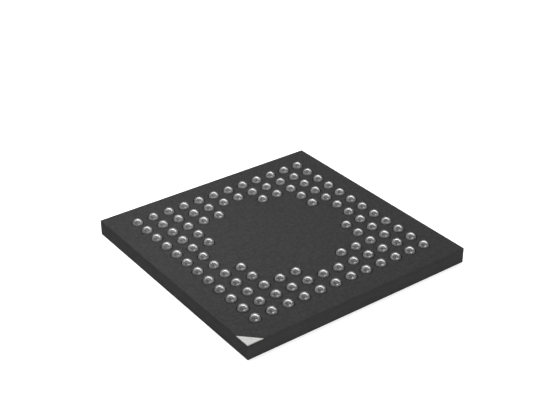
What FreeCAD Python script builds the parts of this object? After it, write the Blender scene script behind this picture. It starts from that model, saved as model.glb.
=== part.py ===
# Ball grid array chip package: a square moulded package with 100 solder balls in a 12 by 12
# field, lying on its moulded face with the balls up. All sizes are in millimetres.
# The origin is the centre of the moulded face, +Z points out of the ball side, and ball A1 is
# at the corner with low X and low Y. Rows A to M run along Y and columns 1 to 12 along X.
import FreeCAD, Part
import math
import os

# Package body
body_side = 7.00  # square outline, sawn on all four sides
mould_height = 0.31  # moulding compound, from the marked face up to the laminate
substrate_thickness = 0.13  # laminate board with its copper and solder resist

# Ball field
row_letters = "abcdefghjklm"  # the letter I is left out, as the trade does
ball_pitch = 0.50
ball_diameter = 0.28  # widest part of a reflowed ball
ball_height = 0.135  # crest of a ball above the laminate
full_rings = 2  # outer rings of the field that hold every ball
third_ring_gap = 2  # balls left out at the middle of each side of the third ring
ball_sides = 10  # flat facets around a ball, which keep the field of balls light
ball_latitudes = (38.0, 68.0)  # degrees up the ball at which its facets change slope

# Pin one marks
triangle_leg = 0.46  # bare metal corner triangle on the ball side
triangle_thickness = 0.02
dot_diameter = 0.35  # round mark on the moulded face
dot_inset = 0.50  # from each sawn edge to the centre of the mark
dot_depth = 0.02

# Silicon die, bonded to the inner face of the laminate
die_length = 3.20  # along X
die_width = 3.00  # along Y
die_thickness = 0.13
film_thickness = 0.02  # die attach film, diced together with the die

# Bond wires and the fingers that they land on
wires_per_side = 18
pad_pitch = 0.14
pad_inset = 0.07  # from the die's edge to the middle of its bond pads
wire_width = 0.025  # drawn square in section
loop_height = 0.06  # of the wire's outer face above the die
loop_reach = 0.20  # level part of the loop, from the pad
finger_pitch = 0.22
finger_setback = 0.55  # from the die's edge to the near end of a finger
finger_length = 0.16
finger_width = 0.08
finger_thickness = 0.015

# Levels, from the marked face at zero up to the crests of the balls
ball_face = mould_height + substrate_thickness
die_back = mould_height - film_thickness
die_face = die_back - die_thickness
finger_face = mould_height - finger_thickness
loop_face = die_face - loop_height

half_side = body_side / 2
columns = len(row_letters)
first_ball = -ball_pitch * (columns - 1) / 2


def place(shape, x, y, z):
    """Returns a copy of the shape moved by x, y and z."""
    moved = shape.copy()
    moved.translate(FreeCAD.Vector(x, y, z))
    return moved


def slab(length, width, bottom, top):
    """Returns a box centred on the Z axis between two levels."""
    corner = FreeCAD.Vector(-length / 2, -width / 2, bottom)
    return Part.makeBox(length, width, top - bottom, corner)


def prism(points, rise):
    """Returns the solid that a closed outline sweeps along the vector rise."""
    return Part.Face(Part.makePolygon(points + points[:1])).extrude(rise)


def ring(radius, height):
    """Returns a closed outline with as many corners as a ball has sides."""
    corners = []
    for step in range(ball_sides):
        angle = 2 * math.pi * step / ball_sides
        corners.append(FreeCAD.Vector(radius * math.cos(angle), radius * math.sin(angle), height))
    return Part.makePolygon(corners + corners[:1])


def solder_ball():
    """Returns one reflowed ball: a sphere cut flat where it is soldered down."""
    radius = ball_diameter / 2
    centre = ball_height - radius
    rings = [ring(math.sqrt(radius**2 - centre**2), 0)]
    for latitude in ball_latitudes:
        angle = math.radians(latitude)
        rings.append(ring(radius * math.cos(angle), centre + radius * math.sin(angle)))
    crest_radius = radius * math.cos(math.radians(ball_latitudes[-1])) / 2
    rings.append(ring(crest_radius, ball_height))
    return Part.makeLoft(rings, True, True)


def holds_ball(row, column):
    """Says whether the field has a ball at this row and column, both counted from zero."""
    depth = min(row, column, columns - 1 - row, columns - 1 - column)
    if depth < full_rings:
        return True
    if depth > full_rings:
        return False
    along = column if depth == min(row, columns - 1 - row) else row
    return abs(2 * along - (columns - 1)) > third_ring_gap


def solder_ball_row(row):
    """Returns the separate balls of one lettered row."""
    ball = solder_ball()
    balls = []
    for column in range(columns):
        if holds_ball(row, column):
            x = first_ball + ball_pitch * column
            y = first_ball + ball_pitch * row
            balls.append(place(ball, x, y, ball_face))
    return Part.Compound(balls)


def pin_one_triangle():
    """Returns the bare metal triangle that the saw cuts off square at the pin one corner."""
    bottom = ball_face - triangle_thickness
    points = [
        FreeCAD.Vector(-half_side, -half_side, bottom),
        FreeCAD.Vector(-half_side + triangle_leg, -half_side, bottom),
        FreeCAD.Vector(-half_side, -half_side + triangle_leg, bottom),
    ]
    return prism(points, FreeCAD.Vector(0, 0, triangle_thickness))


def pin_one_dot():
    """Returns the round mark, which fills a shallow dimple in the moulded face."""
    centre = FreeCAD.Vector(-half_side + dot_inset, -half_side + dot_inset, 0)
    return Part.makeCylinder(dot_diameter / 2, dot_depth, centre)


def die():
    """Returns the silicon die, its active face turned away from the laminate."""
    return slab(die_length, die_width, die_face, die_back)


def die_attach_film():
    """Returns the film between the die's back and the laminate."""
    return slab(die_length, die_width, die_back, mould_height)


def bond_finger(die_edge, along):
    """Returns a finger on the laminate, for the side of the die that faces +X."""
    corner = FreeCAD.Vector(die_edge + finger_setback, along - finger_width / 2, finger_face)
    return Part.makeBox(finger_length, finger_width, finger_thickness, corner)


def crossing(point, direction, other, other_direction):
    """Returns the point where two lines in the plane of a wire meet."""
    determinant = direction[0] * other_direction[1] - direction[1] * other_direction[0]
    offset = (other[0] - point[0], other[1] - point[1])
    factor = (offset[0] * other_direction[1] - offset[1] * other_direction[0]) / determinant
    return (point[0] + factor * direction[0], point[1] + factor * direction[1])


def wire_edge(middle, offset):
    """Returns one edge of a wire: its middle line set off sideways, with mitred corners.

    Both ends are cut level, where the wire sits on its pad and on its finger.
    """
    level = (1, 0)
    lines = [(middle[0], level)]
    for start, end in zip(middle, middle[1:]):
        run = (end[0] - start[0], end[1] - start[1])
        length = math.hypot(*run)
        shifted = (start[0] - offset * run[1] / length, start[1] + offset * run[0] / length)
        lines.append((shifted, run))
    lines.append((middle[-1], level))
    return [crossing(*line, *following) for line, following in zip(lines, lines[1:])]


def bond_wire(pad, finger):
    """Returns a wire loop from a pad on the die's face to the middle of a finger."""
    span = math.dist(pad, finger)
    loop_middle = loop_face + wire_width / 2
    middle = [(0, die_face), (0, loop_middle), (loop_reach, loop_middle), (span, finger_face)]
    outline = wire_edge(middle, wire_width / 2) + wire_edge(middle, -wire_width / 2)[::-1]
    points = [FreeCAD.Vector(reach, -wire_width / 2, level) for reach, level in outline]
    wire = prism(points, FreeCAD.Vector(0, wire_width, 0))
    heading = math.degrees(math.atan2(finger[1] - pad[1], finger[0] - pad[0]))
    wire.rotate(FreeCAD.Vector(0, 0, 0), FreeCAD.Vector(0, 0, 1), heading)
    return place(wire, pad[0], pad[1], 0)


def bond_side(die_edge, turn):
    """Returns the wires and the fingers of one side of the die.

    They are drawn for the side that faces +X and turned about Z by an angle in degrees.
    """
    wires = []
    fingers = []
    for index in range(wires_per_side):
        count = index - (wires_per_side - 1) / 2
        pad = (die_edge - pad_inset, pad_pitch * count)
        finger_middle = (die_edge + finger_setback + finger_length / 2, finger_pitch * count)
        wires.append(bond_wire(pad, finger_middle))
        fingers.append(bond_finger(die_edge, finger_middle[1]))
    groups = (Part.Compound(wires), Part.Compound(fingers))
    for group in groups:
        group.rotate(FreeCAD.Vector(0, 0, 0), FreeCAD.Vector(0, 0, 1), turn)
    return groups


def substrate():
    """Returns the laminate board, with a corner pocket for the metal triangle."""
    board = slab(body_side, body_side, mould_height, ball_face)
    return board.cut(pin_one_triangle())


def mould_cap(buried):
    """Returns the moulding compound, which fills every space around the buried pieces."""
    block = slab(body_side, body_side, 0, mould_height)
    for piece in [pin_one_dot()] + buried:
        block = block.cut(piece)
    return block


def build():
    """Returns every piece of the package by its node name."""
    sides = {
        "right": (die_length / 2, 0),
        "rear": (die_width / 2, 90),
        "left": (die_length / 2, 180),
        "front": (die_width / 2, 270),
    }
    inner = {"die": die(), "die_attach_film": die_attach_film()}
    for side, (die_edge, turn) in sides.items():
        wires, fingers = bond_side(die_edge, turn)
        inner["bond_fingers_" + side] = fingers
        inner["bond_wires_" + side] = wires
    nodes = {
        "mould_cap": mould_cap(list(inner.values())),
        "substrate": substrate(),
        "pin_one_triangle": pin_one_triangle(),
        "pin_one_dot": pin_one_dot(),
    }
    nodes.update(inner)
    for row, letter in enumerate(row_letters):
        nodes["solder_balls_row_" + letter] = solder_ball_row(row)
    return nodes


os.makedirs("parts", exist_ok=True)
for node, shape in build().items():
    shape.exportStep("parts/" + node + ".step")
    print(node, len(shape.Solids), "solids,", round(shape.Volume, 6), "mm3, valid", shape.isValid())
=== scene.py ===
"""Looks of a ball grid array chip, lying on its moulded face with its solder balls up.

Sizes are in millimetres and angles in degrees, apart from the floor's size, the lamps'
distances and the camera's clipping, which are in metres.
"""

import logging
import math
import random
from collections.abc import Iterator, Sequence
from dataclasses import dataclass, field
from enum import Enum
from typing import Any

import bmesh
import bpy
from mathutils import Matrix, Vector


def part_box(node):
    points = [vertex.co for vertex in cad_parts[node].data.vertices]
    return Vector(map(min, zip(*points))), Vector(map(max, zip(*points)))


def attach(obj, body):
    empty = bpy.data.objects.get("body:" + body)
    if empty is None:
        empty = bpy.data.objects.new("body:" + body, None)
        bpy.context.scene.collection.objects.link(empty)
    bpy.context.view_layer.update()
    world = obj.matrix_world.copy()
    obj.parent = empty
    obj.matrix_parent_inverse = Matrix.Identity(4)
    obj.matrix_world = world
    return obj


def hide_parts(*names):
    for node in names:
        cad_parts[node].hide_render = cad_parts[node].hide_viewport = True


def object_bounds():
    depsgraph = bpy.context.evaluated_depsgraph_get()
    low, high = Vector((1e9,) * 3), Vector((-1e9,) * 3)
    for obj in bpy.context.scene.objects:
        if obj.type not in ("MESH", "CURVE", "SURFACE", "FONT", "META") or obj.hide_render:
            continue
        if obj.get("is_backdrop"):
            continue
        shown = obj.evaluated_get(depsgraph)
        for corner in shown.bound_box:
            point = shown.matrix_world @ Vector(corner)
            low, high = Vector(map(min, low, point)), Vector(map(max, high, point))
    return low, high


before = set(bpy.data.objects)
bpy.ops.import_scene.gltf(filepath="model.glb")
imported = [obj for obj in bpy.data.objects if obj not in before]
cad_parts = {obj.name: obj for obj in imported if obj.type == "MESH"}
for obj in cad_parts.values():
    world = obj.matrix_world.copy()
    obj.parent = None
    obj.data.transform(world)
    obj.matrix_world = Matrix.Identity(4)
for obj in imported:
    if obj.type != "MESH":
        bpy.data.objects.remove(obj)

Tree = bpy.types.NodeTree
Socket = bpy.types.NodeSocket

CAD_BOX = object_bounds()
BODY = "root"
MM = 0.001  # pieces are drawn in millimetres, and Blender's unit is the metre
NEAR_MM = 1e-3  # places closer than this count as the same
MERGE_MM = 1e-4  # points closer than this are merged
PHOTO_WIDTH_PX = 560
NOISE_ROUGHNESS = 0.55  # how strong each finer layer of a noise is
CREST_NORMAL = 0.99  # a face of a ball's solid that points up more than this is its crest
LOG = logging.getLogger("bga_chip")


def linear(colour: str) -> tuple[float, float, float, float]:
    """Turns an sRGB hex colour into a linear one.

    Args:
        colour: the colour as "#rrggbb".

    Returns:
        Red, green, blue and a full alpha, as Blender's sockets take them.
    """
    shares = [int(colour[start : start + 2], 16) / 255 for start in (1, 3, 5)]
    red, green, blue = (s / 12.92 if s <= 0.04045 else ((s + 0.055) / 1.055) ** 2.4 for s in shares)
    return (red, green, blue, 1.0)


def per_metre(size_mm: float) -> float:
    """Returns the scale of a texture whose features are this many millimetres across."""
    return 1 / (size_mm * MM)


def add_node(
    tree: Tree, kind: str, inputs: dict[int | str, Any] | None = None, **settings: Any
) -> bpy.types.Node:
    """Adds a node to a tree with its settings and links.

    Args:
        tree: the node tree to add it to.
        kind: the node's type name.
        inputs: for each input, by name or place, a value or the output that feeds it.
        settings: the node's own properties.

    Returns:
        The new node.
    """
    made = tree.nodes.new(kind)
    for name, value in settings.items():
        setattr(made, name, value)
    for socket, value in (inputs or {}).items():
        if isinstance(value, bpy.types.NodeSocket):
            tree.links.new(value, made.inputs[socket])
        else:
            made.inputs[socket].default_value = value
    return made


class ColourMix(Enum):
    """The inputs and the output that a Mix node uses for colours."""

    FACTOR = 0
    FIRST = 6
    SECOND = 7
    RESULT = 2


@dataclass(frozen=True)
class Finish:
    """A surface finish, made as a node material.

    The fields are those of a plain, slightly mottled surface, and the subclasses add the
    marks that each way of making leaves. A span is the part of a noise's range that most of
    its values lie in, and layers are its finer and finer octaves.
    """

    name: str
    colours: tuple[str, str]
    mottle: float
    grain: float
    grain_depth: float
    roughness: float
    roughness_spread: float = 0.05
    metallic: float = 0.0
    ior: float = 1.5
    mottle_layers: float = 6.0
    mottle_span: tuple[float, float] = (0.35, 0.65)
    grain_layers: float = 4.0
    grain_span: tuple[float, float] = (0.3, 0.7)

    def material(self) -> bpy.types.Material:
        """Builds the material.

        Returns:
            A new material with this finish.
        """
        made = bpy.data.materials.new(self.name)
        made.use_nodes = True
        tree = made.node_tree
        tree.nodes.clear()
        place = add_node(tree, "ShaderNodeTexCoord").outputs["Object"]
        values = {
            "Vector": place,
            "Scale": per_metre(self.grain),
            "Detail": self.grain_layers,
            "Roughness": NOISE_ROUGHNESS,
        }
        grain = add_node(tree, "ShaderNodeTexNoise", values).outputs["Fac"]
        low, high = self.mottle_span
        values = {"Value": self.shade(tree, place), "From Min": low, "From Max": high}
        patches = add_node(tree, "ShaderNodeMapRange", values).outputs["Result"]
        values = {
            ColourMix.FACTOR.value: patches,
            ColourMix.FIRST.value: linear(self.colours[0]),
            ColourMix.SECOND.value: linear(self.colours[1]),
        }
        mixed = add_node(tree, "ShaderNodeMix", values, data_type="RGBA")
        values = {"Height": self.relief(tree, place, grain), "Distance": self.grain_depth * MM}
        bump = add_node(tree, "ShaderNodeBump", values)
        values = {
            "Base Color": mixed.outputs[ColourMix.RESULT.value],
            "Roughness": self.dullness(tree, place, grain),
            "Metallic": self.metal(tree, place),
            "Normal": bump.outputs["Normal"],
        }
        shader = add_node(tree, "ShaderNodeBsdfPrincipled", values)
        if not self.metallic:
            shader.inputs["IOR"].default_value = self.ior
        add_node(tree, "ShaderNodeOutputMaterial", {"Surface": shader.outputs["BSDF"]})
        return made

    def shade(self, tree: Tree, place: Socket) -> Socket:
        """Adds the pattern that the two colours follow, which here is a soft mottle.

        Args:
            tree: the material's node tree.
            place: the coordinates to read.

        Returns:
            The pattern, from 0 to 1.
        """
        values = {
            "Vector": place,
            "Scale": per_metre(self.mottle),
            "Detail": self.mottle_layers,
            "Roughness": NOISE_ROUGHNESS,
        }
        return add_node(tree, "ShaderNodeTexNoise", values).outputs["Fac"]

    def relief(self, tree: Tree, place: Socket, grain: Socket) -> Socket:
        """Returns the height of the surface, as a share of the grain's depth."""
        return grain

    def dullness(self, tree: Tree, place: Socket, grain: Socket) -> Socket:
        """Adds the roughness, which varies a little with the grain.

        Args:
            tree: the material's node tree.
            place: not used here.
            grain: the grain's noise.

        Returns:
            The roughness.
        """
        values = {
            "Value": grain,
            "From Min": self.grain_span[0],
            "From Max": self.grain_span[1],
            "To Min": self.roughness - self.roughness_spread,
            "To Max": self.roughness + self.roughness_spread,
        }
        return add_node(tree, "ShaderNodeMapRange", values).outputs["Result"]

    def metal(self, tree: Tree, place: Socket) -> float | Socket:
        """Returns how metallic the surface is, which here is the same all over it."""
        return self.metallic


@dataclass(frozen=True)
class SawnFinish(Finish):
    """A face that a dicing saw has cut: fine level scratches, a little uneven in depth."""

    scratch: float = 0.012
    scratch_length: float = 0.6
    scratch_share: float = 0.5
    scratch_layers: float = 3.0

    def scratches(self, tree: Tree, place: Socket) -> Socket:
        """Adds a noise that is drawn out level, along the saw's cut.

        Args:
            tree: the material's node tree.
            place: the coordinates to read.

        Returns:
            The noise, from 0 to 1.
        """
        stretch = self.scratch / self.scratch_length
        values = {"Vector": place, "Scale": (stretch, stretch, 1.0)}
        drawn = add_node(tree, "ShaderNodeMapping", values).outputs["Vector"]
        values = {
            "Vector": drawn,
            "Scale": per_metre(self.scratch),
            "Detail": self.scratch_layers,
            "Roughness": NOISE_ROUGHNESS,
        }
        return add_node(tree, "ShaderNodeTexNoise", values).outputs["Fac"]

    def shade(self, tree: Tree, place: Socket) -> Socket:
        """Adds the mottle of the cut material, with the scratches across it.

        Args:
            tree: the material's node tree.
            place: the coordinates to read.

        Returns:
            The pattern, from 0 to 1.
        """
        mottle = super().shade(tree, place)
        values = {"Factor": self.scratch_share, "A": mottle, "B": self.scratches(tree, place)}
        return add_node(tree, "ShaderNodeMix", values).outputs["Result"]

    def relief(self, tree: Tree, place: Socket, grain: Socket) -> Socket:
        """Adds the height of the surface: long level scratches with the grain over them."""
        values = {0: grain, 1: self.scratches(tree, place)}
        return add_node(tree, "ShaderNodeMath", values, operation="ADD").outputs[0]


@dataclass(frozen=True)
class WovenBoardFinish(Finish):
    """Solder resist over a laminate whose glass cloth shows through as a faint relief."""

    thread: float = 0.14
    weave_share: float = 0.6

    def relief(self, tree: Tree, place: Socket, grain: Socket) -> Socket:
        """Adds the height of the surface: a plain weave under the resist's own grain.

        Args:
            tree: the material's node tree.
            place: the coordinates to read.
            grain: the grain's noise.

        Returns:
            The height, as a share of the grain's depth.
        """
        values = {0: place, 1: (math.pi * per_metre(self.thread),) * 3}
        phase = add_node(tree, "ShaderNodeVectorMath", values, operation="MULTIPLY").outputs[0]
        waves = add_node(tree, "ShaderNodeVectorMath", {0: phase}, operation="SINE").outputs[0]
        sides = add_node(tree, "ShaderNodeSeparateXYZ", {0: waves}).outputs
        values = {0: sides["X"], 1: sides["Y"]}
        weave = add_node(tree, "ShaderNodeMath", values, operation="MULTIPLY").outputs[0]
        values = {0: weave, 1: self.weave_share, 2: grain}
        return add_node(tree, "ShaderNodeMath", values, operation="MULTIPLY_ADD").outputs[0]


@dataclass(frozen=True)
class SolderFinish(Finish):
    """Reflowed solder: bright on top, and frosted by flux round its foot.

    The foot is the height of the board's face, from where the frost thins out upwards.
    """

    foot: float = 0.44
    frost_height: float = 0.08
    frosted_metallic: float = 0.66
    frosted_roughness: float = 0.12

    def frost(self, tree: Tree, place: Socket, foot: float, top: float) -> Socket:
        """Adds a number that goes evenly from one value to another up the frosted part.

        Args:
            tree: the material's node tree.
            place: the coordinates to read.
            foot: the value at the ball's foot.
            top: the value above the frost.

        Returns:
            The number.
        """
        values = {
            "Value": add_node(tree, "ShaderNodeSeparateXYZ", {0: place}).outputs["Z"],
            "From Min": self.foot * MM,
            "From Max": (self.foot + self.frost_height) * MM,
            "To Min": foot,
            "To Max": top,
        }
        return add_node(tree, "ShaderNodeMapRange", values).outputs["Result"]

    def metal(self, tree: Tree, place: Socket) -> Socket:
        """Adds how metallic the ball is, which falls off towards its foot."""
        return self.frost(tree, place, self.frosted_metallic, self.metallic)

    def dullness(self, tree: Tree, place: Socket, grain: Socket) -> Socket:
        """Adds the roughness, which rises towards the foot.

        Args:
            tree: the material's node tree.
            place: the coordinates to read.
            grain: the grain's noise.

        Returns:
            The roughness.
        """
        even = super().dullness(tree, place, grain)
        values = {0: even, 1: self.frost(tree, place, self.frosted_roughness, 0.0)}
        return add_node(tree, "ShaderNodeMath", values, operation="ADD").outputs[0]


class Finishes:
    """Every material of the chip, each made once."""

    def __init__(self) -> None:
        """Makes the materials from the real surfaces' names and measures."""
        # Epoxy moulding compound, transfer-moulded: matt black, with the fine even grain that a
        # spark-eroded mould gives it. The real grain is about 0.01 mm and the filler's patches
        # 0.03 mm. Both are drawn twice as coarse, so that they show.
        self.moulded = Finish(
            "moulded_epoxy_compound",
            ("#2c2c2c", "#393939"),
            mottle=0.06,
            grain=0.022,
            grain_depth=0.0025,
            roughness=0.8,
        ).material()
        # The same compound where the dicing saw cut it: a shade greyer and less dull, with the
        # cut filler's grain of 0.015 mm and level scratches some 0.6 mm long. The blade's real
        # grit is about 0.006 mm, and the scratches are drawn 0.012 mm apart, so that they show.
        self.sawn_epoxy = SawnFinish(
            "sawn_epoxy_compound",
            ("#2d2d2d", "#3a3a3a"),
            mottle=0.04,
            grain=0.015,
            grain_depth=0.002,
            roughness=0.7,
        ).material()
        # Dark matt solder resist, cured over the board's copper and glass cloth. The finest
        # cloth's flattened threads are about 0.14 mm wide, and the patches of 0.07 mm are where
        # the film is thinner. Its matting grain of 0.01 mm is drawn twice as coarse.
        self.resist = WovenBoardFinish(
            "dark_matt_solder_resist",
            ("#272727", "#343434"),
            mottle=0.07,
            grain=0.022,
            grain_depth=0.002,
            roughness=0.85,
        ).material()
        # The laminate that the resist leaves bare round each ball. Its dark tone is painted shade,
        # which deepens the dark ring where each ball meets the face, and its patches of about
        # 0.05 mm are stains of spent flux. The etched foil's print in it, about 0.005 mm, is drawn
        # as a grain of 0.02 mm.
        self.laminate_flux_and_shade = Finish(
            "laminate_flux_stain_and_painted_shade",
            ("#181818", "#202020"),
            mottle=0.05,
            grain=0.02,
            grain_depth=0.001,
            roughness=0.75,
        ).material()
        # Glass cloth and resin, sawn through: dull, with level scratches. Broken glass makes
        # them coarser than in the compound, and they are drawn 0.02 mm apart. The real fibres
        # are 0.005 mm thick, too fine to show, so their bundles' 0.05 mm is drawn instead.
        self.sawn_laminate = SawnFinish(
            "sawn_glass_laminate",
            ("#2a2a2a", "#373737"),
            mottle=0.05,
            grain=0.02,
            grain_depth=0.0025,
            roughness=0.7,
            scratch=0.02,
        ).material()
        # Tin, silver and copper solder, reflowed: bright, with the slightly uneven skin that
        # its crystals leave, about 0.05 mm across.
        self.solder = SolderFinish(
            "reflowed_tin_silver_copper_solder",
            ("#e6e6e6", "#d2d2d2"),
            mottle=0.045,
            grain=0.06,
            grain_depth=0.0007,
            roughness=0.25,
            roughness_spread=0.04,
            metallic=0.86,
        ).material()
        # Plated copper left bare for the pin one mark: flat pale grey metal, a little stained
        # in patches of about 0.035 mm. The plating's grain of 0.005 mm is drawn as 0.015 mm.
        self.bare_pad = Finish(
            "bare_plated_copper",
            ("#d5d5d4", "#c0c0bf"),
            mottle=0.035,
            grain=0.015,
            grain_depth=0.0006,
            roughness=0.42,
            metallic=0.55,
        ).material()
        # White marking ink, printed: flat and opaque, with pigment clumps of about 0.012 mm.
        self.ink = Finish(
            "white_marking_ink",
            ("#d0d0d0", "#c4c4c4"),
            mottle=0.03,
            grain=0.012,
            grain_depth=0.001,
            roughness=0.6,
        ).material()
        # Polished silicon with its passivation: dark blue-grey and glossy, its tint varying
        # over about 0.4 mm, where one block of the circuit ends and the next begins.
        self.silicon = Finish(
            "polished_silicon",
            ("#5b6069", "#686d77"),
            mottle=0.4,
            grain=0.05,
            grain_depth=0.0001,
            roughness=0.12,
            roughness_spread=0.02,
            metallic=0.4,
        ).material()
        # Die attach film: straw-coloured adhesive, slightly tacky, cloudy over about 0.1 mm.
        self.film = Finish(
            "die_attach_film",
            ("#b9a878", "#c7b88c"),
            mottle=0.1,
            grain=0.03,
            grain_depth=0.001,
            roughness=0.5,
        ).material()
        # Soft gold plated over nickel on the bond fingers, with a grain of about 0.01 mm.
        self.gold_plate = Finish(
            "soft_gold_plating",
            ("#e0b155", "#d6a64b"),
            mottle=0.03,
            grain=0.01,
            grain_depth=0.0004,
            roughness=0.3,
            metallic=1.0,
        ).material()
        # Drawn gold wire: smooth and bright, its die marks about 0.01 mm apart.
        self.gold_wire = Finish(
            "drawn_gold_wire",
            ("#e8b758", "#dcab4e"),
            mottle=0.03,
            grain=0.01,
            grain_depth=0.0002,
            roughness=0.2,
            roughness_spread=0.03,
            metallic=1.0,
        ).material()


def copied(node: str) -> bmesh.types.BMesh:
    """Copies a CAD node's shape, in millimetres, with its loose triangles merged.

    Args:
        node: the node's name.

    Returns:
        A new bmesh.
    """
    shape = bmesh.new()
    shape.from_mesh(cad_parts[node].data)
    bmesh.ops.scale(shape, vec=Vector((1, 1, 1)) / MM, verts=shape.verts)
    bmesh.ops.remove_doubles(shape, verts=shape.verts, dist=MERGE_MM)
    return shape


def make_piece(
    shape: bmesh.types.BMesh,
    name: str,
    replaced: Sequence[str],
    materials: Sequence[bpy.types.Material],
) -> None:
    """Turns a bmesh drawn in millimetres into a piece that stands for CAD nodes.

    Args:
        shape: the shape, which is used up.
        name: the piece's name.
        replaced: the CAD nodes that it stands for.
        materials: one material for each material index of its faces.
    """
    bmesh.ops.scale(shape, vec=Vector((MM, MM, MM)), verts=shape.verts)
    mesh = bpy.data.meshes.new(name)
    shape.to_mesh(mesh)
    shape.free()
    for material in materials:
        mesh.materials.append(material)
    piece = bpy.data.objects.new(name, mesh)
    bpy.context.scene.collection.objects.link(piece)
    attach(piece, BODY)
    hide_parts(*replaced)
    LOG.info("%s: %d faces", name, len(mesh.polygons))


def corners_mm(node: str) -> tuple[Vector, Vector]:
    """Returns a CAD node's lowest and highest corners in millimetres."""
    low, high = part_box(node)
    return low / MM, high / MM


class BodyFace(Enum):
    """The place of each of the body's finishes among a piece's materials."""

    LEVEL = 0
    SAWN = 1
    OPENED = 2


@dataclass
class Body:
    """The moulding compound and the laminate board, sawn flush with each other."""

    finishes: Finishes
    edge: float = 0.008
    edge_segments: int = 2
    pitch: float = 0.5
    opening_radius: float = 0.168
    opening_depth: float = 0.02
    opening_sides: int = 32
    level_normal: float = 0.7
    low: Vector = field(init=False)
    high: Vector = field(init=False)
    joint: float = field(init=False)

    def __post_init__(self) -> None:
        """Reads the body's outline from the frame."""
        self.low, joint = corners_mm("mould_cap")
        self.joint = joint.z
        self.high = corners_mm("substrate")[1]

    def build(self) -> None:
        """Builds both pieces."""
        self.mould()
        self.board()

    def sides(self, vertex: bmesh.types.BMVert, level: float) -> set[str]:
        """Finds the sides of the body that a vertex lies in.

        Args:
            vertex: a vertex of the body.
            level: the height of its free face.

        Returns:
            The sides' names.
        """
        distances = {
            "left": abs(vertex.co.x - self.low.x),
            "right": abs(vertex.co.x - self.high.x),
            "front": abs(vertex.co.y - self.low.y),
            "rear": abs(vertex.co.y - self.high.y),
            "face": abs(vertex.co.z - level),
        }
        return {side for side, distance in distances.items() if distance < NEAR_MM}

    def outer_edges(self, shape: bmesh.types.BMesh, level: float) -> list[bmesh.types.BMEdge]:
        """Finds the edges along the body's outline, apart from those at the joint.

        Args:
            shape: a shape of the body, in millimetres.
            level: the height of its free face.

        Returns:
            The upright corner edges and the edges around the free face.
        """
        found = []
        for edge in shape.edges:
            # two sides meet along the edge if both its ends lie in both of them
            first, second = (self.sides(vertex, level) for vertex in edge.verts)
            if len(first & second) > 1:
                found.append(edge)
        return found

    def soften(self, shape: bmesh.types.BMesh, level: float) -> None:
        """Takes the sharpness off the sawn edges, as handling does.

        Args:
            shape: a shape of the body, in millimetres.
            level: the height of its free face.
        """
        bmesh.ops.bevel(
            shape,
            geom=self.outer_edges(shape, level),
            offset=self.edge,
            affect="EDGES",
            segments=self.edge_segments,
            profile=0.5,
            material=-1,
            clamp_overlap=True,
        )

    def dress(self, shape: bmesh.types.BMesh) -> None:
        """Tells the level faces from the sawn sides.

        Args:
            shape: a shape of the body, in millimetres.
        """
        shape.normal_update()
        for face in shape.faces:
            level = abs(face.normal.z) > self.level_normal
            face.material_index = (BodyFace.LEVEL if level else BodyFace.SAWN).value

    def mould(self) -> None:
        """Builds the moulding, with the spaces that it leaves around the buried pieces."""
        shape = copied("mould_cap")
        self.soften(shape, self.low.z)
        self.dress(shape)
        finishes = [self.finishes.moulded, self.finishes.sawn_epoxy]
        make_piece(shape, "moulding_block", ["mould_cap"], finishes)

    def board(self) -> None:
        """Builds the laminate board, its resist open in a ring around each ball."""
        shape = bmesh.new()
        columns = round((self.high.x - self.low.x) / self.pitch)
        filled = {self.cell(x, y) for node in ball_rows() for x, y in ball_places(node)}
        for row in range(columns):
            for column in range(columns):
                x = self.low.x + self.pitch / 2 + self.pitch * column
                y = self.low.y + self.pitch / 2 + self.pitch * row
                self.tile(shape, Vector((x, y, self.high.z)), self.cell(x, y) in filled)
        bmesh.ops.remove_doubles(shape, verts=shape.verts, dist=MERGE_MM)
        self.pocket(shape)
        self.walls(shape)
        self.soften(shape, self.high.z)
        bmesh.ops.recalc_face_normals(shape, faces=shape.faces)
        self.dress(shape)
        # the walls and floor of each ball's opening take the laminate whose dark tone is painted shade
        for face in shape.faces:
            place = face.calc_center_median()
            inner = max(abs(place.x), abs(place.y)) < self.high.x - self.pitch
            if inner and self.joint + NEAR_MM < place.z < self.high.z - NEAR_MM:
                face.material_index = BodyFace.OPENED.value
        finishes = [self.finishes.resist, self.finishes.sawn_laminate, self.finishes.laminate_flux_and_shade]
        make_piece(shape, "laminate_board", ["substrate"], finishes)

    def cell(self, x: float, y: float) -> tuple[int, int]:
        """Returns the column and the row of the ball field's square that a place is in."""
        return math.floor((x - self.low.x) / self.pitch), math.floor((y - self.low.y) / self.pitch)

    def tile(self, shape: bmesh.types.BMesh, centre: Vector, opened: bool) -> None:
        """Adds one square of the ball face.

        Args:
            shape: the board so far.
            centre: the middle of the square.
            opened: whether it has a round opening for a ball.
        """
        place = Matrix.Translation(centre)
        half = self.pitch / 2
        outline = bmesh.ops.create_circle(
            shape, segments=self.opening_sides, radius=half, cap_ends=not opened, matrix=place
        )["verts"]
        for vertex in outline:
            # the circle is drawn out to the square, so that neighbours share their points
            reach = vertex.co - centre
            vertex.co = centre + reach * (half / max(abs(reach.x), abs(reach.y)))
        if not opened:
            return
        rim = bmesh.ops.create_circle(
            shape, segments=self.opening_sides, radius=self.opening_radius, matrix=place
        )["verts"]
        loops = [edge for edge in shape.edges if not edge.link_faces]
        bmesh.ops.bridge_loops(shape, edges=loops)
        lip = dict.fromkeys(e for vertex in rim for e in vertex.link_edges if e.is_boundary)
        sunk = bmesh.ops.extrude_edge_only(shape, edges=list(lip))["geom"]
        fallen = [part for part in sunk if isinstance(part, bmesh.types.BMVert)]
        bmesh.ops.translate(shape, vec=(0, 0, -self.opening_depth), verts=fallen)
        land = dict.fromkeys(e for vertex in fallen for e in vertex.link_edges if e.is_boundary)
        bmesh.ops.contextual_create(shape, geom=list(land))

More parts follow.
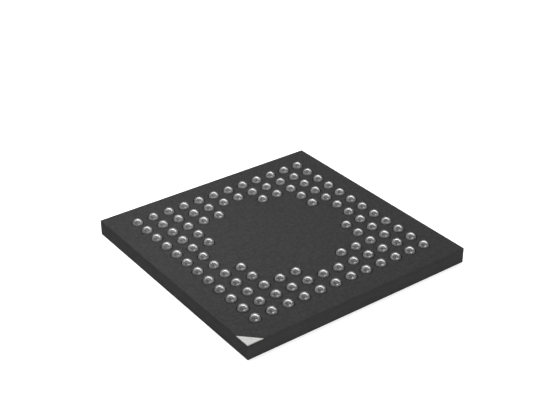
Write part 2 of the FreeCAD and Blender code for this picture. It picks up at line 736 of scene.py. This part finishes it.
    def pocket(self, shape: bmesh.types.BMesh) -> None:
        """Lowers the corner that the bare metal triangle fills.

        The face is cut along the triangle's long side, the corner beyond the cut is sunk, and
        the two outer steps that this leaves are taken away, as the pocket is open there.

        Args:
            shape: the ball face.
        """
        low, high = corners_mm("pin_one_triangle")
        across = Vector((1, 1, 0)).normalized()
        middle = Vector((high.x, low.y, self.high.z))
        near = [f for f in shape.faces if (f.calc_center_median() - low).xy.length < self.pitch]
        parts = dict.fromkeys(part for face in near for part in (face, *face.edges, *face.verts))
        bmesh.ops.bisect_plane(
            shape, geom=list(parts), dist=MERGE_MM, plane_co=middle, plane_no=across
        )
        corner = [f for f in shape.faces if (f.calc_center_median() - middle).dot(across) < -NEAR_MM]
        made = bmesh.ops.extrude_discrete_faces(shape, faces=corner)["faces"]
        sunk = dict.fromkeys(vertex for face in made for vertex in face.verts)
        bmesh.ops.translate(shape, vec=(0, 0, low.z - high.z), verts=list(sunk))

        def sawn_off(face: bmesh.types.BMFace) -> bool:
            """Says whether the face lies in one of the two sawn sides at this corner."""
            across_x = max(vertex.co.x for vertex in face.verts) < low.x + NEAR_MM
            return across_x or max(vertex.co.y for vertex in face.verts) < low.y + NEAR_MM

        legs = [face for face in shape.faces if sawn_off(face)]
        bmesh.ops.delete(shape, geom=legs, context="FACES")

    def walls(self, shape: bmesh.types.BMesh) -> None:
        """Closes the board with its sawn sides and its inner face.

        Args:
            shape: the ball face, open below.
        """
        rim = [edge for edge in shape.edges if edge.is_boundary]
        corners = [(self.low.x, self.low.y), (self.high.x, self.low.y)]
        corners += [(self.high.x, self.high.y), (self.low.x, self.high.y)]
        feet = [shape.verts.new((x, y, self.joint)) for x, y in corners]
        below = [shape.edges.new((a, b)) for a, b in zip(feet, feet[1:] + feet[:1])]
        uprights = []
        for foot in feet:
            over = (
                v for v in shape.verts if v is not foot and (v.co - foot.co).xy.length < NEAR_MM
            )
            uprights.append(shape.edges.new((foot, min(over, key=lambda v: v.co.z))))
        for side, edge in enumerate(below):
            # the front and rear walls each keep to one place along Y, the other two along X
            axis = 1 - side % 2
            level = edge.verts[0].co[axis]
            along = [e for e in rim if all(abs(v.co[axis] - level) < NEAR_MM for v in e.verts)]
            loop = along + [edge, uprights[side], uprights[(side + 1) % len(uprights)]]
            bmesh.ops.contextual_create(shape, geom=loop)
        bmesh.ops.contextual_create(shape, geom=below)


def ball_rows() -> list[str]:
    """Returns the names of the CAD nodes that hold the rows of balls."""
    return sorted(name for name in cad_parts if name.startswith("solder_balls_row_"))


def ball_places(node: str) -> Iterator[tuple[float, float]]:
    """Finds where a row's balls stand, from the flat crests of the CAD solids.

    Args:
        node: the row's node.

    Yields:
        The place of each ball along X and Y, in millimetres.
    """
    solids = copied(node)
    left = {face for face in solids.faces if face.normal.z > CREST_NORMAL}
    for face in solids.faces:
        if face not in left:
            continue
        left.remove(face)
        crest = [face]
        waiting = [face]
        while waiting:
            joined = {f for edge in waiting.pop().edges for f in edge.link_faces} & left
            left -= joined
            crest.extend(joined)
            waiting.extend(joined)
        across = [vertex.co.x for part in crest for vertex in part.verts]
        along = [vertex.co.y for part in crest for vertex in part.verts]
        yield (min(across) + max(across)) / 2, (min(along) + max(along)) / 2
    solids.free()


@dataclass
class BallField:
    """The solder balls, each a true round with its own small unevenness."""

    finishes: Finishes
    around: int = 24
    rings: int = 16
    sunk: float = 0.017
    unevenness: float = 0.012
    diameter: float = 0.28
    foot_normal: float = -0.9
    cut_merge: float = 1e-5
    seed: int = 7

    def build(self) -> None:
        """Builds one piece for each lettered row."""
        chance = random.Random(self.seed)
        for node in ball_rows():
            low, high = corners_mm(node)
            shape = bmesh.new()
            for x, y in ball_places(node):
                self.ball(shape, Vector((x, y, low.z)), high.z - low.z, chance)
            for face in shape.faces:
                face.smooth = face.normal.z > self.foot_normal
            name = node.replace("solder_balls", "reflowed_balls")
            make_piece(shape, name, [node], [self.finishes.solder])

    def ball(
        self, shape: bmesh.types.BMesh, foot: Vector, height: float, chance: random.Random
    ) -> None:
        """Adds one ball, cut flat where it meets its land.

        Args:
            shape: the row so far.
            foot: the middle of the ball's foot on the resist.
            height: how far its crest stands above the foot.
            chance: the seeded source of its unevenness.
        """
        radius = self.diameter / 2
        widths = [1 + chance.uniform(-self.unevenness, self.unevenness) for _ in range(2)]
        turn = Matrix.Rotation(chance.uniform(0, math.tau), 4, "Z")
        middle = foot + Vector((0, 0, height - radius))
        place = Matrix.Translation(middle) @ turn @ Matrix.Diagonal((*widths, 1, 1))
        made = bmesh.ops.create_uvsphere(
            shape, u_segments=self.around, v_segments=self.rings, radius=radius, matrix=place
        )["verts"]
        parts = dict.fromkeys(part for v in made for part in (v, *v.link_edges, *v.link_faces))
        cut = bmesh.ops.bisect_plane(
            shape,
            geom=list(parts),
            dist=self.cut_merge,
            plane_co=foot - Vector((0, 0, self.sunk)),
            plane_no=(0, 0, -1),
            clear_outer=True,
        )["geom_cut"]
        rim = [part for part in cut if isinstance(part, bmesh.types.BMEdge)]
        bmesh.ops.contextual_create(shape, geom=rim)


@dataclass
class PinOneMarks:
    """The bare metal triangle on the ball side and the white dot on the moulded face."""

    finishes: Finishes
    edge: float = 0.003
    edge_segments: int = 2
    sharp_degrees: float = 60.0

    def build(self) -> None:
        """Builds both marks."""
        self.mark("pin_one_triangle", "corner_triangle", self.finishes.bare_pad)
        self.mark("pin_one_dot", "printed_dot", self.finishes.ink)

    def mark(self, node: str, name: str, material: bpy.types.Material) -> None:
        """Builds a mark from its CAD shape, with its sharp edges eased.

        Args:
            node: the CAD node.
            name: the new piece's name.
            material: its finish.
        """
        shape = copied(node)
        sharp = math.radians(self.sharp_degrees)
        bmesh.ops.bevel(
            shape,
            geom=[edge for edge in shape.edges if edge.calc_face_angle(0) > sharp],
            offset=self.edge,
            affect="EDGES",
            segments=self.edge_segments,
            profile=0.5,
            material=-1,
        )
        make_piece(shape, name, [node], [material])


@dataclass
class BuriedPieces:
    """The die, its film, the bond wires and their fingers, which stay as the CAD has them."""

    finishes: Finishes
    sides: tuple[str, ...] = ("right", "rear", "left", "front")

    def build(self) -> None:
        """Dresses the nodes that the moulding hides."""
        dressed = {"die": self.finishes.silicon, "die_attach_film": self.finishes.film}
        for side in self.sides:
            dressed["bond_fingers_" + side] = self.finishes.gold_plate
            dressed["bond_wires_" + side] = self.finishes.gold_wire
        for name, material in dressed.items():
            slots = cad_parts[name].data.materials
            slots.clear()
            slots.append(material)
            LOG.info("%s: dressed as %s", name, material.name)


@dataclass(frozen=True)
class SoftLight:
    """An oval lamp that is placed round the chip and faces it.

    The azimuth is counted from the camera's line of sight, to the right, and 180 is behind
    the camera. Half the width and half the height are given as angles seen from the chip.
    """

    name: str
    azimuth: float
    elevation: float
    half_width: float
    half_height: float
    radiance: float
    distance: float = 0.1
    mirrored: bool = True


@dataclass
class Studio:
    """The floor, the lights and the camera.

    The camera's angles, distance, focal length and aim come from fitting the places of the
    100 balls to the photograph.
    """

    azimuth: float = -36.759
    elevation: float = 30.03
    distance_mm: float = 31.625
    focal_px: float = 1115.2
    aim_mm: tuple[float, float] = (1.128, 1.439)
    sensor_mm: float = 36.0
    clip: tuple[float, float] = (0.001, 10.0)
    floor_size: float = 1.2
    floor_drop_mm: float = 0.002
    window_mm: float = 6.98
    floor_glow: float = 0.55
    room_light: float = 0.51
    room_mirrored: float = 0.005
    room_backdrop: float = 1.0
    # each lamp's azimuth, elevation, half width and half height, and its radiance
    lights: tuple[SoftLight, ...] = (
        SoftLight("back_softbox", 15, 38, 30, 8, 0.54),
        SoftLight("main_softbox", 12, 52, 32, 8, 1.5),
        SoftLight("upper_softbox", 8, 64, 36, 9, 1.72),
        SoftLight("overhead_panel", 180, 72, 30, 9, 0.12),
        SoftLight("front_right_panel", 145, 48, 20, 12, 0.135),
        SoftLight("right_softbox", 70, 34, 18, 16, 1.12),
        SoftLight("left_back_panel", -50, 36, 24, 16, 0.51),
        SoftLight("left_panel", -72, 30, 18, 14, 0.165),
        SoftLight("left_low_panel", -92, 10, 24, 10, 0.096),
        SoftLight("back_low_panel", 0, 11, 60, 9, 0.12),
        SoftLight("right_low_panel", 108, 9, 20, 9, 0.37),
        SoftLight("front_right_lamp", 150, 8, 18, 10, 1.7),
        SoftLight("left_top_fill", -98, 62, 30, 30, 2.13, distance=0.0075, mirrored=False),
        SoftLight("marked_face_softbox", 20, -60, 35, 30, 3.6, mirrored=False),
    )

    def build(self) -> None:
        """Sets up the whole studio."""
        self.floor()
        self.world()
        for light in self.lights:
            self.light(light)
        self.camera()

    def sight(self, azimuth: float, elevation: float) -> Vector:
        """Works out the direction towards a place round the chip.

        Args:
            azimuth: from the camera's line of sight, to the right, in degrees.
            elevation: above the floor, in degrees.

        Returns:
            A vector one long.
        """
        turn = math.radians(self.azimuth) - math.radians(azimuth)
        rise = math.radians(elevation)
        return Vector(
            (-math.sin(turn) * math.cos(rise), math.cos(turn) * math.cos(rise), math.sin(rise))
        )

    def acrylic(self) -> bpy.types.Material:
        """Makes the floor's material: pale acrylic that glows a little.

        Returns:
            A material that is clear from underneath, so that the marked face can be looked at
            from below.
        """
        material = bpy.data.materials.new("pale_glowing_acrylic")
        material.use_nodes = True
        tree = material.node_tree
        tree.nodes.clear()
        diffuse = add_node(tree, "ShaderNodeBsdfDiffuse", {"Color": linear("#f4f4f4")})
        glow = add_node(tree, "ShaderNodeEmission", {"Strength": self.floor_glow})
        both = add_node(tree, "ShaderNodeAddShader", {0: diffuse.outputs[0], 1: glow.outputs[0]})
        under = add_node(tree, "ShaderNodeNewGeometry").outputs["Backfacing"]
        clear = add_node(tree, "ShaderNodeBsdfTransparent").outputs[0]
        shown = add_node(tree, "ShaderNodeMixShader", {0: under, 1: both.outputs[0], 2: clear})
        add_node(tree, "ShaderNodeOutputMaterial", {"Surface": shown.outputs[0]})
        return material

    def floor(self) -> None:
        """Lays the plain pale floor, which is open under the chip.

        The opening is for views from below, and the chip hides it from every other side. The
        floor lies a hair under the chip, so that their faces don't coincide.
        """
        shape = bmesh.new()
        below = Matrix.Translation((0, 0, -self.floor_drop_mm * MM))
        size = self.floor_size / 2
        bmesh.ops.create_grid(shape, x_segments=1, y_segments=1, size=size, matrix=below)
        margin = size - self.window_mm * MM / 2
        faces = list(shape.faces)
        bmesh.ops.inset_individual(shape, faces=faces, thickness=margin, use_even_offset=True)
        window = min(shape.faces, key=lambda face: face.calc_area())
        bmesh.ops.delete(shape, geom=[window], context="FACES")
        mesh = bpy.data.meshes.new("floor")
        shape.to_mesh(mesh)
        shape.free()
        mesh.materials.append(self.acrylic())
        floor = bpy.data.objects.new("floor", mesh)
        floor.visible_glossy = False
        bpy.context.scene.collection.objects.link(floor)
        floor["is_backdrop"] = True

    def world(self) -> None:
        """Gives the room an even light: white as a backdrop, and dim where the balls mirror it."""
        world = bpy.data.worlds.new("studio")
        world.use_nodes = True
        tree = world.node_tree
        tree.nodes.clear()
        rays = add_node(tree, "ShaderNodeLightPath").outputs
        values = {"Value": rays["Is Glossy Ray"], "To Min": self.room_light, "To Max": self.room_mirrored}
        level = add_node(tree, "ShaderNodeMapRange", values).outputs["Result"]
        values = {"Value": rays["Is Camera Ray"], "To Min": level, "To Max": self.room_backdrop}
        seen = add_node(tree, "ShaderNodeMapRange", values).outputs["Result"]
        values = {"Color": linear("#ffffff"), "Strength": seen}
        glow = add_node(tree, "ShaderNodeBackground", values)
        add_node(tree, "ShaderNodeOutputWorld", {"Surface": glow.outputs[0]})
        bpy.context.scene.world = world

    def light(self, plan: SoftLight) -> None:
        """Adds one lamp, turned towards the chip.

        Args:
            plan: the lamp's place, size and brightness.
        """
        lamp = bpy.data.lights.new(plan.name, "AREA")
        lamp.shape = "ELLIPSE"
        lamp.size = 2 * plan.distance * math.tan(math.radians(plan.half_width))
        lamp.size_y = 2 * plan.distance * math.tan(math.radians(plan.half_height))
        area = math.pi / 4 * lamp.size * lamp.size_y
        # a flat lamp of even radiance gives off pi times that for each square metre
        lamp.energy = plan.radiance * math.pi * area
        holder = bpy.data.objects.new(plan.name, lamp)
        direction = self.sight(plan.azimuth, plan.elevation)
        holder.location = direction * plan.distance
        holder.rotation_euler = (-direction).to_track_quat("-Z", "Y").to_euler()
        holder.visible_glossy = plan.mirrored
        holder.visible_camera = False
        bpy.context.scene.collection.objects.link(holder)

    def camera(self) -> None:
        """Puts the camera where the photograph was taken from."""
        lens = bpy.data.cameras.new("camera")
        lens.sensor_width = self.sensor_mm
        lens.lens = self.focal_px * self.sensor_mm / PHOTO_WIDTH_PX
        lens.clip_start, lens.clip_end = self.clip
        holder = bpy.data.objects.new("camera", lens)
        forward = self.sight(0, -self.elevation)
        face = corners_mm("substrate")[1].z
        holder.location = (Vector((*self.aim_mm, face)) - forward * self.distance_mm) * MM
        holder.rotation_euler = forward.to_track_quat("-Z", "Y").to_euler()
        bpy.context.scene.collection.objects.link(holder)
        bpy.context.scene.camera = holder


def write_sizes() -> None:
    """Works out the box of the CAD model and that of the dressed one, as lists."""
    boxes = {"cad": CAD_BOX, "visual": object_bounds()}
    lists = {name: [list(low), list(high)] for name, (low, high) in boxes.items()}


def main() -> None:
    """Builds the chip and its studio."""
    logging.basicConfig(level=logging.INFO, format="%(name)s %(message)s")
    bpy.context.scene.view_settings.view_transform = "Standard"
    finishes = Finishes()
    Body(finishes).build()
    BallField(finishes).build()
    PinOneMarks(finishes).build()
    BuriedPieces(finishes).build()
    Studio().build()
    write_sizes()


if __name__ == "__main__":
    main()
